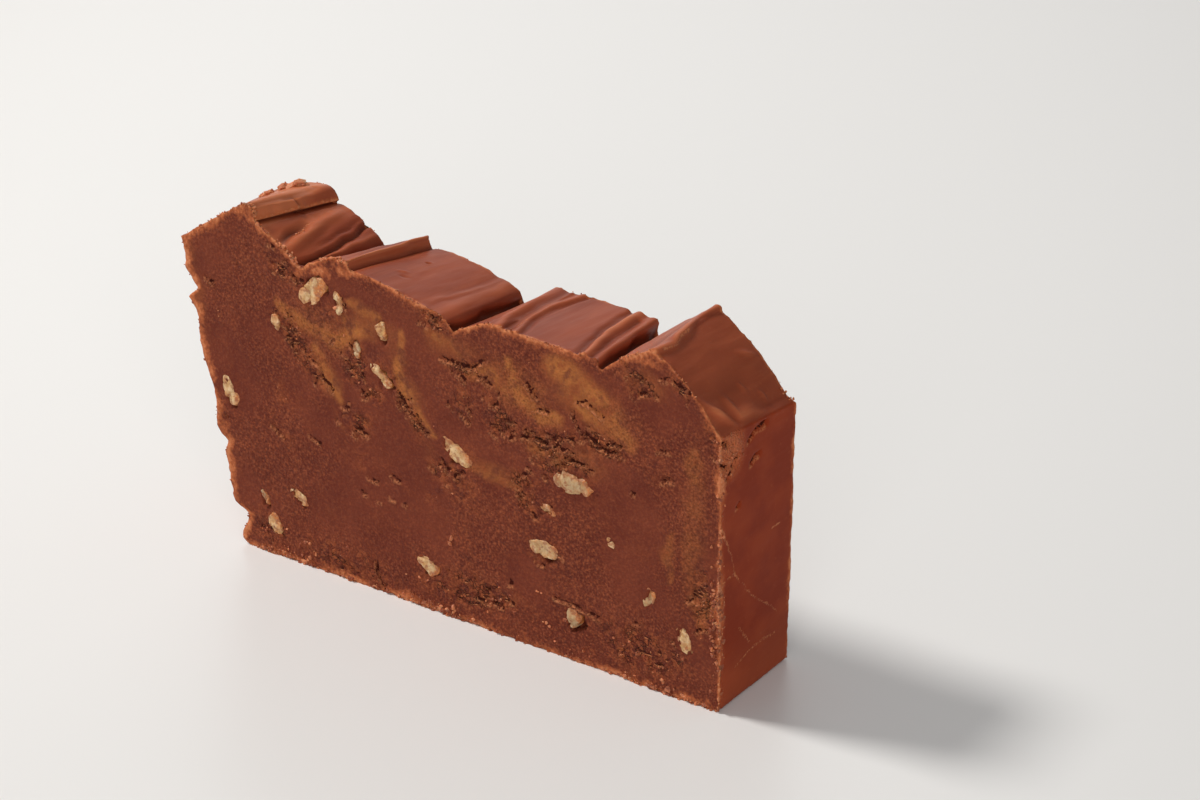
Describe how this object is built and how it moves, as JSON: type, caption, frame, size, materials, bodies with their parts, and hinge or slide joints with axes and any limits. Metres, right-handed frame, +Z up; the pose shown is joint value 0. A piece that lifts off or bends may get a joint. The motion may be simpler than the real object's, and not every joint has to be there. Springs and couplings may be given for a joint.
{
  "type": "fudge slice",
  "caption": "Slice of chocolate walnut fudge standing on its base: flat cut faces dotted with nut pieces, a top waved by a paddle, an upright end and a leaning, folded end",
  "frame": {"origin": "middle of the base that the slice stands on", "axes": "+Z up; +X along the slice's length, to the upright end; +Y across its thickness, away from the front cut face"},
  "size_m": [0.1267, 0.0244, 0.0724],
  "materials": {
    "fudge": "milk-chocolate fudge: matt, fine-grained cut faces, satin skin on the top and ends",
    "walnut": "cream walnut flesh with golden-brown skin"
  },
  "bodies": {
    "root": {"fudge_slice": "fudge", "walnut_front_01": "walnut", "walnut_front_02": "walnut", "walnut_front_03": "walnut", "walnut_front_04": "walnut", "walnut_front_05": "walnut", "walnut_front_06": "walnut", "walnut_front_07": "walnut", "walnut_front_08": "walnut", "walnut_front_09": "walnut", "walnut_front_10": "walnut", "walnut_front_11": "walnut", "walnut_front_12": "walnut", "walnut_front_13": "walnut", "walnut_front_14": "walnut", "walnut_front_15": "walnut", "walnut_front_16": "walnut", "walnut_front_17": "walnut", "walnut_front_18": "walnut", "walnut_front_19": "walnut", "walnut_back_01": "walnut", "walnut_back_02": "walnut", "walnut_back_03": "walnut", "walnut_back_04": "walnut", "walnut_back_05": "walnut", "walnut_back_06": "walnut", "walnut_back_07": "walnut", "walnut_back_08": "walnut", "walnut_back_09": "walnut", "walnut_back_10": "walnut"}
  },
  "joints": []
}
